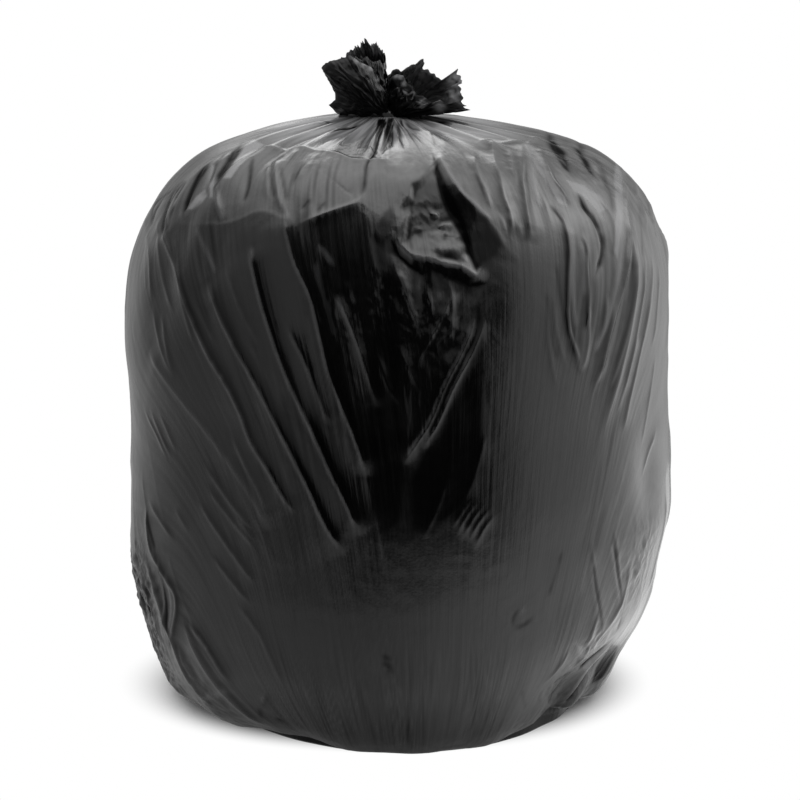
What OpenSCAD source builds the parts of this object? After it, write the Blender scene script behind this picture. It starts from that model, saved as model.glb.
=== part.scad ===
// A filled bin bag, tied in its own neck and standing on its base.
// Millimetres. X runs left to right, Y front (negative) to back, Z up.
// The origin is on the floor, in the middle of the bag's box.
// The film, its knot and its two ears are one piece, and what is inside can't be seen: one closed solid.

/* [Bag] */
// Width across the full belly
body_w = 460; // [380:5:560]
// Depth from front to back
body_d = 448; // [370:5:550]
// Height of the crown, where the gathers meet the neck
body_h = 500; // [420:5:620]
// Radius of the gathered neck inside the knot
neck_r = 14; // [11:1:18]
// How far the neck sits left of the middle
neck_left = 11; // [0:1:20]

/* [Gathers] */
// Number of pleats that run from the neck over the crown
pleat_count = 19; // [13:1:24]
// Depth of a pleat near the neck
pleat_h = 5; // [2:0.5:7]
// Distance over which the pleats die out
pleat_reach = 120; // [60:5:160]
// Depth of the small tucks round the base
tuck_h = 3; // [0:0.5:5]

/* [Folds] */
// Height of a full fold in the side film
fold_h = 7; // [0:0.5:10]
// Width of a full fold, from its crest to its foot
fold_w = 12; // [9:1:20]
// Height of a full bump that the contents push out
bump_h = 6; // [0:0.5:10]
// Radius of a full bump
bump_r = 60; // [40:5:90]

/* [Knot] */
// Width of the knot, left to right
knot_w = 64; // [56:1:80]
// Depth of the knot, front to back
knot_d = 54; // [48:1:66]
// Thickness of the twisted band that makes the knot
knot_band = 20; // [18:0.5:26]

/* [Ears] */
// Length of the left ear, from the knot to its longest tip
left_ear = 70; // [50:1:84]
// Length of the right ear, from the knot to its longest tip
right_ear = 75; // [56:1:90]
// Direction of the left ear, turned up from the right-hand horizon
left_lean = 131; // [115:1:140]
// Direction of the right ear, turned up from the right-hand horizon
right_lean = 41; // [36:1:60]
// Half of the angle an ear fans out, seen from the front
ear_fan = 40; // [28:1:46]
// Half of the angle an ear opens, seen from the side
ear_open = 26; // [16:1:36]
// Wall of the bunched film at the rim of an ear
ear_wall = 3; // [2:0.2:5]

/* [Hidden] */

film_colour = [0.07, 0.07, 0.075];

half_w = body_w / 2;
half_d = body_d / 2;

// Rows up the side: share of the height, then reach to the right, left, front and back,
// each as a share of the half width or the half depth.
SIDE = [
  [0.000, 0.660, 0.650, 0.715, 0.735],
  [0.010, 0.740, 0.765, 0.775, 0.810],
  [0.048, 0.815, 0.880, 0.855, 0.895],
  [0.120, 0.875, 0.930, 0.940, 0.950],
  [0.190, 0.920, 0.955, 0.980, 0.975],
  [0.262, 0.955, 0.975, 0.990, 0.990],
  [0.333, 0.985, 0.985, 0.990, 1.000],
  [0.405, 0.985, 0.985, 0.990, 1.005],
  [0.476, 0.980, 0.980, 0.985, 1.010],
  [0.548, 0.975, 0.985, 0.985, 1.015],
  [0.620, 0.980, 0.995, 0.990, 1.015],
  [0.690, 0.985, 0.985, 0.980, 1.005],
  [0.762, 0.970, 0.955, 0.955, 0.980],
  [0.835, 0.915, 0.880, 0.895, 0.910],
  [0.890, 0.820, 0.790, 0.810, 0.800],
  [0.936, 0.680, 0.660, 0.690, 0.645],
  [0.966, 0.450, 0.480, 0.500, 0.440],
  [0.985, 0.250, 0.280, 0.300, 0.250],
  [1.000, 0.090, 0.090, 0.090, 0.090]
];

// Folds in the side film: column angle and row at the upper end, row at the lower end, columns moved
// per ring on the way down, then height as a share of a full fold. 270 degrees is the front, 0 the right.
FOLDS = [
  [203, 12.5, 8, 1, 0.7],
  [216.7, 12.5, 6, 1, 1.0],
  [230, 13, 7.5, 1, 0.8],
  [240, 13.5, 8.5, 0.67, 0.6],
  [196.7, 9.5, 5.5, 1, 0.5],
  [213.3, 7.5, 5, 1, 0.6],
  [190, 12, 9, 1, 0.5],
  [290, 12.5, 7, -0.67, 0.9],
  [266.7, 14, 11.5, 1, 0.7],
  [320, 13.5, 9, -0.33, 0.6],
  [346.7, 13.5, 8.5, -0.67, 0.8],
  [343.3, 11, 7, -0.33, 0.6],
  [360, 12.5, 9, -0.33, 0.5],
  [190, 5.5, 2, 1, 0.7],
  [206.7, 4.5, 1.5, 1, 0.7],
  [320, 6, 2, 0.5, 0.5],
  [346.7, 3, 1, -0.67, -0.8],
  [10, 13, 8, 1, 0.8],
  [36.7, 13.5, 9, 1, 0.8],
  [53.3, 12.5, 8, 0.5, 0.6],
  [76.7, 13.5, 9, -0.5, 0.7],
  [96.7, 13, 7, -0.67, 0.9],
  [123.3, 13.5, 8, -1, 0.8],
  [143.3, 12.5, 7, -1, 1.0],
  [163.3, 12, 8, -1, 0.7],
  [26.7, 5.5, 2, -0.5, 0.7],
  [66.7, 5, 1.5, -0.5, 0.7],
  [110, 5.5, 1.5, 0.5, 0.7],
  [156.7, 5, 1.5, -0.5, 0.7]
];

// Bumps and dents over the contents: angle, share of the bag's height, then radius and height as shares
// of a full bump.
BUMPS = [
  [3, 0.90, 0.8, 1.0],
  [190, 0.26, 0.8, 0.6],
  [218, 0.11, 0.8, 0.8],
  [240, 0.01, 0.8, -1.1],
  [318, 0.03, 0.8, -1.3],
  [215, 0.62, 1.2, 0.4],
  [300, 0.46, 1.3, 0.5],
  [20, 0.30, 1.2, 0.6],
  [60, 0.56, 1.3, 0.8],
  [110, 0.40, 1.5, 0.9],
  [150, 0.66, 1.2, 0.7]
];

// Ragged rims: reach of the film round an ear's mouth, as shares of the ear's length. The left ear's list
// starts at its upper edge and the right ear's at its lower edge; both go round past the front.
LEFT_RIM = [0.60, 0.54, 0.86, 0.80, 0.90, 1.06, 0.66, 0.62, 0.68, 0.56, 0.68, 1.00, 0.84, 0.96, 0.72, 0.52];
RIGHT_RIM = [0.88, 0.92, 0.80, 1.06, 0.76, 0.76, 0.50, 0.42, 0.36, 0.40, 0.44, 0.74, 0.64, 1.00, 0.78, 0.86];

columns = 108;
rings_a_row = 2;
rings = rings_a_row * (len(SIDE) - 1) + 1;
column_turn = 360 / columns;
front_crowding = 12;
crown_share = 0.6;
crown_onset = 0.15;
tuck_share = 0.14;
side_run = half_w * PI / 180;
neck_top = body_h + knot_band / 4;
knot_z = body_h;

// Helpers.

function eased(t) = t <= 0 ? 0 : t >= 1 ? 1 : t * t * (3 - 2 * t);

function bell(t) = exp(-t * t);

// Smallest turn from one angle to another, within 180 degrees.
function turn(a) = a - 360 * floor((a + 180) / 360);

// Smooth curve through a list of rows, at row number u.
function row_at(rows, u) =
  let (
    last = len(rows) - 1,
    i = min(floor(u), last - 1),
    f = u - i,
    p0 = rows[max(i - 1, 0)],
    p1 = rows[i],
    p2 = rows[i + 1],
    p3 = rows[min(i + 2, last)]
  )
  p1 + 0.5 * f * (p2 - p0 + f * (2 * p0 - 5 * p1 + 4 * p2 - p3 + f * (3 * (p1 - p2) + p3 - p0)));

// Value of a closed list at share s of the way round, straight between its entries.
function round_list(list, s) =
  let (
    n = len(list),
    u = s * n,
    i = floor(u),
    f = u - i
  )
  list[i % n] * (1 - f) + list[(i + 1) % n] * f;

// Triangles of a tube made of rings of n points, each ring after the other. Each four-sided patch is cut
// along the way its folds run.
function tube_faces(rings, n, falls) = [
  for (i = [0 : rings - 2])
    for (j = [0 : n - 1])
      let (
        k = (j + 1) % n,
        a = i * n + j,
        b = i * n + k
      )
      each falls(360 * j / n) ? [[a, a + n, b], [b, a + n, b + n]] : [[a, a + n, b + n], [a, b + n, b]]
];

// Triangles from one ring to a single point, facing the given way.
function cap_faces(first, n, tip, up) = [
  for (j = [0 : n - 1])
    let (k = (j + 1) % n)
    up ? [first + j, tip, first + k] : [first + j, first + k, tip]
];

// The bag.

// Angle of a column, crowded at the front.
function column_angle(t) = t - front_crowding * cos(t);

// Whether the folds near a column run down towards larger angles.
function falls_onward(t) = t < 60 || t > 180 && t < 268;

// Reach of the plain bag at an angle, from its reach in the four directions.
function reach(row, a) =
  let (
    right = row[1] * half_w,
    left = row[2] * half_w,
    front = row[3] * half_d,
    back = row[4] * half_d
  )
  (right + left + front + back) / 4
  + (right - left) / 2 * cos(a)
  + (back - front) / 2 * sin(a)
  + (right + left - front - back) / 4 * cos(2 * a);

// Ridge of one fold with a hollow beside it, tapered at both ends.
function fold_at(f, t, u) =
  let (
    s = (f[1] - u) / (f[1] - f[2]),
    crest = f[0] + f[3] * (f[1] - u) * rings_a_row * column_turn,
    d = turn(column_angle(t) - column_angle(crest)) * side_run / fold_w,
    hollow = 0.5 * bell(d - 1.6 * sign(f[3]))
  )
  s <= 0 || s >= 1 ? 0 : f[4] * eased(4 * s) * eased(4 - 4 * s) * (bell(d) - hollow);

// Rise of one bump, rounded off on all sides.
function bump_at(b, a, z) =
  let (away = norm([turn(a - b[0]) * side_run, z - b[1] * body_h]))
  b[3] * bell(away / (b[2] * bump_r));

function total(list) = list * [for (v = list) 1];

// Pleats of the gathered crown, uneven in width and length.
function pleat_at(t, share, r) =
  let (
    wave = cos(pleat_count * t + 50 * sin(3 * t) + 35 * sin(5 * t + 40)),
    long = pleat_reach * (1 + 0.35 * sin(4 * t + 20) + 0.25 * sin(7 * t)),
    fade = bell(max(r - 4 * neck_r, 0) / long),
    rise = eased(r / (4 * neck_r)),
    onset = eased((share - crown_share) / crown_onset)
  )
  pleat_h * (wave - 0.6) * fade * rise * onset;

// Tucks of the base where the film turns under.
function tuck_at(t, share) = tuck_h * (cos(17 * t + 60 * sin(2 * t)) - 0.7) * (1 - eased(share / tuck_share));

// Outward move of the film at a place on the plain bag.
function film_move(t, u, a, share, r) =
  pleat_at(t, share, r)
  + tuck_at(t, share)
  + fold_h * total([for (f = FOLDS) fold_at(f, t, u)])
  + bump_h * total([for (b = BUMPS) bump_at(b, a, share * body_h)]);

// Point of the film for column angle t at row number u. Only the first ring is on the floor.
function film_point(t, u) =
  let (
    row = row_at(SIDE, u),
    step = row_at(SIDE, min(u + 0.1, len(SIDE) - 1)) - row_at(SIDE, max(u - 0.1, 0)),
    share = row[0],
    a = column_angle(t),
    r = reach(row, a),
    slope = [step[0] * body_h, -reach(step, a)],
    out = slope / norm(slope),
    move = film_move(t, u, a, share, r),
    far = r + out[0] * move,
    drift = neck_left * pow(share, 4),
    z = share * body_h
  )
  [far * cos(a) - drift, far * sin(a), u == 0 ? 0 : max(z + out[1] * move, z / 2)];

film_rings = [
  for (i = [0 : rings - 1])
    for (j = [0 : columns - 1])
      film_point(column_turn * j, i / rings_a_row)
];

neck_ring = [
  for (j = [0 : columns - 1])
    [neck_r * cos(column_turn * j) - neck_left, neck_r * sin(column_turn * j), neck_top]
];

xs = [for (p = film_rings) p[0]];
ys = [for (p = film_rings) p[1]];
centre = [(min(xs) + max(xs)) / 2, (min(ys) + max(ys)) / 2, 0];

module bag_body() {
  points = concat(film_rings, neck_ring, [[0, 0, 0], [-neck_left, 0, neck_top]]);
  floor_point = len(points) - 2;
  top_point = len(points) - 1;
  faces = concat(
    tube_faces(rings + 1, columns, function (t) falls_onward(t)),
    cap_faces(0, columns, floor_point, false),
    cap_faces(rings * columns, columns, top_point, true)
  );
  polyhedron(points = points, faces = faces, convexity = 6);
}

// The knot.

knot_steps = 28;
knot_sides = 10;
knot_twist = 0.14;
knot_swell = 0.12;

// Twisted, creased band that runs once round the neck.
module knot() {
  band = knot_band / 2;
  points = [
    for (i = [0 : knot_steps - 1])
      for (j = [0 : knot_sides - 1])
        let (
          a = 360 * i / knot_steps,
          b = 360 * j / knot_sides,
          size = band * (1 + knot_twist * cos(2 * b + 4 * a) + knot_swell * sin(2 * a + 30)),
          out = size * cos(b)
        )
        [
          (knot_w / 2 - band + out) * cos(a) - neck_left,
          (knot_d / 2 - band + out) * sin(a),
          knot_z + size * sin(b) + knot_swell * knot_band * sin(2 * a + 50)
        ]
  ];
  faces = [
    for (i = [0 : knot_steps - 1])
      for (j = [0 : knot_sides - 1])
        let (
          a = i * knot_sides + j,
          b = i * knot_sides + (j + 1) % knot_sides,
          c = ((i + 1) % knot_steps) * knot_sides + (j + 1) % knot_sides,
          d = ((i + 1) % knot_steps) * knot_sides + j
        )
        each [[a, b, c], [a, c, d]]
  ];
  polyhedron(points = points, faces = faces, convexity = 6);
}

// The ears. Their points go round the other way, so their triangles are turned over.

ear_sides = 32;
ear_ruffle = 0.2;
ear_root = 1.4 * neck_r;
ear_taper = 0.8;
ear_heel = 0.08;
ear_pocket = 0.2;

// Share of the way out, then whether the wall is the outer one (0) or the inner one (1) on its way back.
EAR_WALL = [
  [0.00, 0],
  [0.20, 0],
  [0.42, 0],
  [0.65, 0],
  [0.85, 0],
  [1.00, 0],
  [0.98, 1],
  [0.80, 1],
  [0.60, 1],
  [0.45, 1]
];

// One point of an ear in its own frame: across, front to back, along.
function ear_point(size, rim, ruffles, side, wall) =
  let (
    b = 360 * side / ear_sides,
    s = wall[0],
    ruffle = 1 + ear_ruffle * s * cos(ruffles * b + 50 * s),
    out = size * s * round_list(rim, side / ear_sides),
    across = sin(ear_fan) * ruffle * cos(b),
    deep = -sin(ear_open) * ruffle * sin(b),
    root = ear_root * (1 - ear_taper * s) - wall[1] * ear_wall
  )
  [
    out * across + root * cos(b),
    out * deep - root * sin(b),
    out * sqrt(1 - across * across - deep * deep)
  ];

module ear(size, lean, rim, ruffles) {
  rows = len(EAR_WALL);
  points = concat(
    [for (wall = EAR_WALL) for (side = [0 : ear_sides - 1]) ear_point(size, rim, ruffles, side, wall)],
    [[0, 0, -ear_heel * size], [0, 0, ear_pocket * size]]
  );
  faces = concat(
    tube_faces(rows, ear_sides, function (t) t < 180),
    cap_faces(0, ear_sides, rows * ear_sides, false),
    cap_faces((rows - 1) * ear_sides, ear_sides, rows * ear_sides + 1, true)
  );
  turned_over = [for (f = faces) [f[0], f[2], f[1]]];
  translate([-neck_left, 0, knot_z])
    rotate([0, 90 - lean, 0])
      polyhedron(points = points, faces = turned_over, convexity = 8);
}

module bin_bag() {
  color(film_colour)
    translate(-centre)
      union() {
        bag_body();
        knot();
        ear(left_ear, left_lean, LEFT_RIM, 7);
        ear(right_ear, right_lean, RIGHT_RIM, 6);
      }
}

bin_bag();
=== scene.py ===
"""Dresses the tied bin bag: a wrinkled black film skin, its twisted knot and its two ragged ears."""

import math

import bpy
import numpy as np
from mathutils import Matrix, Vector
from mathutils.geometry import delaunay_2d_cdt


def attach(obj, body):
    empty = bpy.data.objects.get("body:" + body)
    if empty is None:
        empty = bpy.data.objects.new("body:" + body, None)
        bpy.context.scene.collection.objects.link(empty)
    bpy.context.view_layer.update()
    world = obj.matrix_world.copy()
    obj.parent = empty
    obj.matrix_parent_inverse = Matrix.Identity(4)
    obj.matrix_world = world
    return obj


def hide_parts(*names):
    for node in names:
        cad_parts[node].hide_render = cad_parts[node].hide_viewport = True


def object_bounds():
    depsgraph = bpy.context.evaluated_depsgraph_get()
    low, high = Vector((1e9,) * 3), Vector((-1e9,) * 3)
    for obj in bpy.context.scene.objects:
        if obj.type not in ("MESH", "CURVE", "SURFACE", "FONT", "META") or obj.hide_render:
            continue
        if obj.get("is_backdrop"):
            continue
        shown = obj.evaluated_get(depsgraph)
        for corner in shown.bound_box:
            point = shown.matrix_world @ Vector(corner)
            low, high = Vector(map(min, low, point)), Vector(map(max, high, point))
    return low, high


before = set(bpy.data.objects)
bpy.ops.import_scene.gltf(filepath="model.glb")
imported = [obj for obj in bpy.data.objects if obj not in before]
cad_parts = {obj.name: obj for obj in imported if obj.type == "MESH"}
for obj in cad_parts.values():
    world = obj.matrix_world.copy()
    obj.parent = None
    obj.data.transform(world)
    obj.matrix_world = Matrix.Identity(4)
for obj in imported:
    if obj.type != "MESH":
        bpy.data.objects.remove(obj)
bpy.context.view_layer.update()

MM = 0.001

# ---------------------------------------------------------------- camera

IMAGE = 800
DISTANCE = 2.3
ELEVATION = math.radians(12.5)
METRES_PER_PIXEL = 0.0008456
FOCUS_PX = DISTANCE / METRES_PER_PIXEL
SENSOR = 36.0
AIM = Vector((0.0013, 0.0, 0.2557))


def make_camera():
    data = bpy.data.cameras.new("camera")
    cam = bpy.data.objects.new("camera", data)
    bpy.context.scene.collection.objects.link(cam)
    data.sensor_width = SENSOR
    data.lens = SENSOR * FOCUS_PX / IMAGE
    data.clip_end = 60.0
    away = Vector((0.0, -math.cos(ELEVATION), math.sin(ELEVATION)))
    cam.location = AIM + away * DISTANCE
    cam.rotation_mode = "QUATERNION"
    cam.rotation_quaternion = (-away).to_track_quat("-Z", "Y")
    bpy.context.scene.camera = cam
    return cam


camera = make_camera()
EYE = np.array(camera.location)
FORWARD = np.array((0.0, math.cos(ELEVATION), -math.sin(ELEVATION)))
UP = np.array((0.0, math.sin(ELEVATION), math.cos(ELEVATION)))


def to_pixels(points):
    """Where points in metres fall in the 800 x 800 picture."""
    rel = points - EYE
    depth = rel @ FORWARD
    x = IMAGE / 2 + FOCUS_PX * rel[..., 0] / depth
    y = IMAGE / 2 - FOCUS_PX * (rel @ UP) / depth
    return np.stack([x, y], -1)


# ---------------------------------------------------------------- the bag's own sizes, as in the solid

BODY_W, BODY_D, BODY_H = 460.0, 448.0, 500.0
NECK_R, NECK_LEFT = 14.0, 11.0
PLEAT_COUNT, PLEAT_H, PLEAT_REACH = 19, 5.0, 120.0
TUCK_H, TUCK_SHARE = 3.0, 0.14
FOLD_H = 7.0
SOLID_COLUMNS, COLUMN_SHIFT = 108, 12.0
BUMP_H, BUMP_R = 6.0, 60.0
KNOT_W, KNOT_D, KNOT_BAND = 64.0, 54.0, 20.0

# Share of the height, then share of half the width or depth reached to the right, left, front and back.
SIDE = np.array([
    (0.000, 0.660, 0.650, 0.715, 0.735),
    (0.010, 0.740, 0.765, 0.775, 0.810),
    (0.048, 0.815, 0.880, 0.855, 0.895),
    (0.120, 0.875, 0.930, 0.940, 0.950),
    (0.190, 0.920, 0.955, 0.980, 0.975),
    (0.262, 0.955, 0.975, 0.990, 0.990),
    (0.333, 0.985, 0.985, 0.990, 1.000),
    (0.405, 0.985, 0.985, 0.990, 1.005),
    (0.476, 0.980, 0.980, 0.985, 1.010),
    (0.548, 0.975, 0.985, 0.985, 1.015),
    (0.620, 0.980, 0.995, 0.990, 1.015),
    (0.690, 0.985, 0.985, 0.980, 1.005),
    (0.762, 0.970, 0.955, 0.955, 0.980),
    (0.835, 0.915, 0.880, 0.895, 0.910),
    (0.890, 0.820, 0.790, 0.810, 0.800),
    (0.936, 0.680, 0.660, 0.690, 0.645),
    (0.966, 0.450, 0.480, 0.500, 0.440),
    (0.985, 0.250, 0.280, 0.300, 0.250),
    (1.000, 0.090, 0.090, 0.090, 0.090),
])

# What the waste pushes out: angle, share of the height, size and height.
BUMPS = [
    (3, 0.9, 0.8, 1), (190, 0.26, 0.8, 0.6), (218, 0.11, 0.8, 0.8), (240, 0.01, 0.8, -1.1),
    (318, 0.03, 0.8, -1.3), (215, 0.62, 1.2, 0.4), (300, 0.46, 1.3, 0.5), (20, 0.3, 1.2, 0.6),
    (60, 0.56, 1.3, 0.8), (110, 0.4, 1.5, 0.9), (150, 0.66, 1.2, 0.7),
]

# Folds of the sides and back: column angle and row at the upper end, row at the lower end, drift, height.
FAR_FOLDS = [
    (10, 13, 8, 1, 0.8), (36.7, 13.5, 9, 1, 0.8), (53.3, 12.5, 8, 0.5, 0.6), (76.7, 13.5, 9, -0.5, 0.7),
    (96.7, 13, 7, -0.67, 0.9), (123.3, 13.5, 8, -1, 0.8), (143.3, 12.5, 7, -1, 1), (163.3, 12, 8, -1, 0.7),
    (26.7, 5.5, 2, -0.5, 0.7), (66.7, 5, 1.5, -0.5, 0.7), (110, 5.5, 1.5, 0.5, 0.7),
    (156.7, 5, 1.5, -0.5, 0.7), (346.7, 13.5, 8.5, -0.67, 0.5), (346.7, 3, 1, -0.67, -0.8),
    (190, 5.5, 2, 1, 0.5), (206.7, 4.5, 1.5, 1, 0.5),
]

# ---------------------------------------------------------------- creases read off the picture

# Height, width of the steep flank and of the gentle flank in millimetres, side of the steep flank as one goes
# along the line (1 right, -1 left, 0 neither), then places in the 800 x 800 picture as x, y pairs. A negative
# height is a groove.
CREASES = [
    # long diagonals of the left front
    (2.4, 3, 12, 1, 163,226, 168,245, 179,276, 189,304, 205,345, 225,380, 240,410, 253,440, 270,470, 287,500,
     298,515),
    (2.8, 3.6, 14, 1, 206,279, 213,300, 234,343, 259,386, 276,419, 291,449, 309,487, 325,520, 345,556),
    (2.6, 4.6, 14, 1, 250,245, 256,275, 265,312, 278,350, 289,380, 309,423, 330,468, 347,502, 362,538),
    (1.5, 3.6, 10, 1, 286,320, 292,335, 307,364, 325,412, 333,430),
    (2.6, 5, 12, 1, 284,212, 288,237, 296,264, 311,297, 321,337, 332,378, 347,414, 360,449, 367,479),
    (1.8, 3.6, 10, 1, 338,290, 344,304, 356,337, 367,370, 378,410), (1, 4, 8, 1, 313,300, 322,330, 331,362),
    (0.9, 2.2, 4, 1, 154,304, 162,341, 178,379), (0.9, 2.2, 4, 1, 162,310, 170,352, 179,382),
    (1, 2.5, 5, 1, 146,217, 150,255, 154,304), (1, 2.5, 5, 1, 157,217, 160,242, 165,288, 176,315),
    (0.9, 1.8, 3, 1, 145,406, 158,434, 171,463), (0.9, 1.8, 3, 1, 152,406, 163,434, 174,462),
    (0.7, 1.8, 3, 1, 159,406, 169,430, 180,458),
    (2, 9, 16, 1, 151,350, 171,380, 206,429, 234,466, 259,506, 268,534),
    (1, 4, 7, 1, 231,430, 245,462, 262,496, 270,520), (1.2, 3.5, 8, 1, 204,461, 223,491, 240,512, 257,532),
    (1.1, 3.5, 7, 1, 206,483, 231,519, 259,553), (1.3, 3, 8, 1, 197,498, 212,522, 240,563, 257,586),
    (0.7, 2.5, 4, 1, 235,512, 247,528, 259,545), (1.1, 2.5, 7, 1, 210,551, 231,579, 253,607),
    (1.2, 3, 8, 1, 148,498, 160,519, 176,543), (0.7, 2.5, 6, 1, 174,506, 183,520, 191,536),
    (0.8, 4, 10, 1, 235,600, 262,640, 285,690), (0.9, 3, 8, 1, 184,262, 200,310, 222,352),
    (0.8, 3, 8, 1, 225,262, 238,300, 262,348), (0.6, 2.5, 6, 1, 240,330, 258,358, 272,390),
    (0.8, 2.5, 5, 1, 283,455, 290,480, 299,505), (-0.3, 1.6, 3, 0, 298,508, 297,560, 294,640),
    (1, 3, 7, 1, 172,232, 177,262, 184,300, 198,350),
    # middle
    (2.2, 2.6, 5, 1, 478,312, 465,345, 445,385, 430,420, 415,445, 403,467),
    (1.8, 2.2, 4, 1, 486,314, 473,348, 453,388, 438,423, 423,449),
    (1, 2.5, 5, 1, 398,262, 406,290, 420,330, 432,352), (1.2, 2.5, 5, 1, 398,345, 410,372, 424,398),
    (1, 2.5, 5, -1, 455,285, 440,318, 424,350, 414,378), (1, 2.2, 5, 1, 378,352, 388,384, 404,408),
    (0.9, 2.2, 5, -1, 448,470, 440,500, 424,540), (0.7, 2, 4, -1, 486,430, 476,470, 462,505),
    (0.7, 1.6, 3, -1, 478,500, 466,516, 456,536), (0.7, 1.6, 3, -1, 484,502, 472,518, 462,540),
    (0.7, 1.6, 3, -1, 490,506, 478,522, 468,544), (0.7, 1.6, 3, -1, 496,512, 484,528, 474,550),
    (0.7, 1.6, 3, -1, 472,498, 460,514, 452,530),
    # curls in the crumpled patch below the knot, and what leads into it
    (1.2, 2, 3, 0, 430,213, 436,211, 441,214), (1.2, 2, 3, 0, 437,226, 446,222, 453,219),
    (1.4, 2.4, 6, 1, 394,258, 400,280, 410,306, 421,334), (1.4, 2.4, 6, -1, 424,280, 430,305, 436,330),
    (1.4, 2.4, 5, -1, 446,276, 453,300, 452,322, 448,345),
    # right front
    (2, 1.8, 6, -1, 560,214, 566,232, 568,250, 568,285, 568,322, 573,345, 580,372),
    (1.8, 1.6, 5, -1, 580,233, 585,243, 586,270, 587,318, 586,341, 579,377),
    (3, 3, 9, 1, 620,166, 624,204, 627,232, 626,260, 621,288, 611,320, 602,352, 595,385),
    (-3.4, 2.4, 5, 0, 573,191, 584,206, 594,218, 601,234, 604,248, 600,266, 592,280),
    (1.4, 3, 9, -1, 650,290, 645,320, 638,352, 628,396, 620,435),
    (1.2, 2.4, 7, -1, 634,245, 632,290, 622,340, 606,390),
    (1.2, 2.4, 7, -1, 642,250, 640,300, 632,345, 618,398), (1, 2.2, 6, -1, 650,250, 650,280, 646,310),
    (1, 2.2, 5, -1, 657,262, 656,300, 650,350), (1.1, 2.4, 6, -1, 606,290, 604,310, 596,345),
    (0.9, 2.4, 6, -1, 614,300, 608,325, 602,352, 592,395), (0.8, 2, 6, -1, 655,350, 648,400, 640,450),
    (0.7, 2, 5, -1, 636,330, 624,380, 612,420), (0.6, 2, 5, -1, 553,290, 556,330, 566,372),
    (0.5, 2, 5, -1, 546,300, 550,350, 556,392), (1.2, 2.5, 6, -1, 657,425, 650,450, 642,480),
    (-2.4, 4.5, 8, 0, 545,138, 556,148, 566,160, 568,176), (-2.2, 4, 6, 0, 575,146, 583,158, 592,176),
    (-1.6, 4.5, 7, 0, 594,159, 603,176, 609,190, 613,218),
    (3.4, 3.5, 9, -1, 538,150, 548,174, 560,192, 574,211),
    (3, 3, 9, -1, 521,144, 522,172, 525,200, 528,220, 531,244),
    (2.4, 2.8, 8, -1, 490,141, 494,160, 502,190, 509,215, 512,238),
    (2.2, 2.5, 6, -1, 474,154, 476,172, 483,192, 491,212), (0.6, 2, 5, -1, 497,211, 502,224, 507,239),
    (0.5, 2, 5, -1, 516,220, 519,230, 523,242), (0.6, 2.2, 5, -1, 540,192, 548,212, 553,236),
    (1.2, 2.2, 5, -1, 508,150, 513,168, 516,190), (1.4, 2.2, 6, -1, 631,186, 640,208, 646,234),
    (1.2, 2.2, 5, -1, 638,186, 650,212, 655,238), (1, 2, 4, -1, 632,176, 645,196, 656,222),
    (-1.6, 1.6, 3, 0, 403,119, 411,126, 423,132), (-1.8, 2.2, 4, 0, 418,118, 436,121, 454,125),
    # crown: the edge where the top of the waste ends
    (2.6, 14, 26, 0, 205,196, 223,176, 240,161, 257,152, 281,149, 304,150, 334,155, 351,160, 377,161,
     392,158), (2.4, 14, 24, 0, 470,146, 495,142, 520,143, 545,141, 566,146),
    # crown, left
    (3, 6, 16, -1, 294,227, 304,223, 319,217, 343,209, 358,202, 366,190),
    (0.9, 8, 16, -1, 168,223, 206,226, 238,219, 262,212, 283,218, 297,224),
    (-2.2, 1.3, 2.5, 0, 254,158, 247,182, 242,208), (-4, 3.4, 6, 0, 209,164, 195,182, 184,206, 181,219),
    (-3.2, 3, 6, 0, 239,143, 225,162, 216,177, 213,192), (-2, 2.4, 5, 0, 229,149, 212,172, 203,192),
    (-3, 3, 6, 0, 176,188, 167,202, 162,228, 166,240), (-2, 2.4, 5, 0, 190,176, 176,196, 171,214),
    (-1.8, 2.2, 4, 0, 164,196, 154,210, 150,226), (1.8, 2.4, 5, 0, 219,180, 218,200, 222,221),
    (1.4, 1.5, 3, 0, 277,156, 277,176, 280,205, 284,214), (-1.8, 2, 4, 0, 304,161, 296,176, 291,190),
    (0.7, 1.5, 3, 0, 268,160, 267,180, 268,204), (-0.9, 1.2, 2, 0, 312,200, 306,207, 300,214),
    (-0.9, 1.2, 2, 0, 328,203, 321,209, 318,216), (-0.7, 1.2, 2, 0, 307,162, 299,172, 293,182),
    (-2, 1.4, 3, 0, 366,120, 350,126, 325,135), (-1.4, 1.2, 3, 0, 352,118, 332,121, 312,124),
    (-2.4, 1.7, 3, 0, 388,118, 378,136, 373,154, 367,167, 364,188, 362,202),
    (-2, 1.5, 3, 0, 394,119, 387,142, 379,157), (-1.8, 2, 3, 0, 391,124, 392,136, 388,150),
    (1.6, 2, 4, 0, 383,122, 376,134, 371,146), (-1.4, 2, 3, 0, 398,120, 399,136, 404,152),
    # foot
    (2.2, 4, 10, 1, 148,502, 152,547, 166,575, 178,601, 176,644),
    (1.6, 3, 5, 1, 136,545, 146,580, 158,620, 166,650), (1.6, 2.6, 5, -1, 142,548, 140,580, 150,610),
    (1.4, 2.6, 5, 1, 160,555, 168,600, 170,640), (1.4, 2.6, 5, -1, 182,640, 190,660, 206,684),
    (1.8, 4, 10, 1, 189,620, 207,643, 234,686), (1.2, 4, 8, 1, 267,692, 257,714),
    (-3.6, 3, 5, 0, 618,643, 606,664, 593,684), (1, 2.5, 6, -1, 591,537, 592,562, 603,643),
    (1, 2.5, 6, -1, 611,527, 618,572, 622,624), (1, 2.5, 6, 1, 562,546, 555,570, 547,599),
    (1.4, 3, 8, 1, 545,690, 560,672, 572,650), (1.6, 3, 6, 1, 575,684, 588,662, 596,640),
    (1.2, 3, 6, -1, 630,560, 622,600, 606,634), (1.4, 3, 6, -1, 600,610, 594,630, 586,655),
]

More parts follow.
